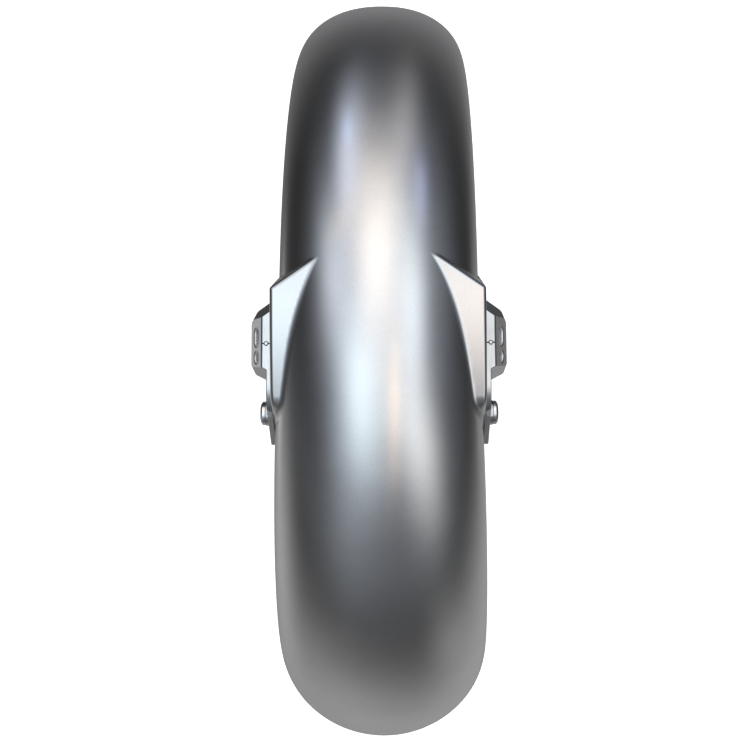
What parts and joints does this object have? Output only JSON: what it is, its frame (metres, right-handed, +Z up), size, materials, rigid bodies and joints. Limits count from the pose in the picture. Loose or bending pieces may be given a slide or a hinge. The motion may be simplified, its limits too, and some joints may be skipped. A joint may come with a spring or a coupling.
{
  "type": "motorcycle front mudguard",
  "caption": "Arched bare-steel front mudguard with a rounded crown, a flared leading end, boxed side shoulders and milled fork brackets with sloped mounting pads.",
  "frame": {"origin": "bottom centre of the box: on the centre plane, midway between the two ends, level with the rounded lower corners of the skirts that the part stands on", "axes": "+X towards the rider's left, -Y forwards to the flared end, +Z up along the wheel radius through the brackets; the wheel axle would be 51.9 mm below the origin, along X"},
  "size_m": [0.1908, 0.6795, 0.2931],
  "materials": {
    "shell_steel": "bare pressed sheet steel, satin, unpainted",
    "bracket_aluminium": "milled, satin, broken edges",
    "plated_steel": "bright plated steel",
    "pin_steel": "turned, plain"
  },
  "bodies": {
    "root": {"mudguard_shell": "shell_steel", "bracket_left": "bracket_aluminium", "bracket_right": "bracket_aluminium", "front_screws": "plated_steel", "front_washers": "plated_steel", "front_nuts": "plated_steel", "rear_screws": "plated_steel", "locating_pins": "pin_steel"}
  },
  "joints": []
}
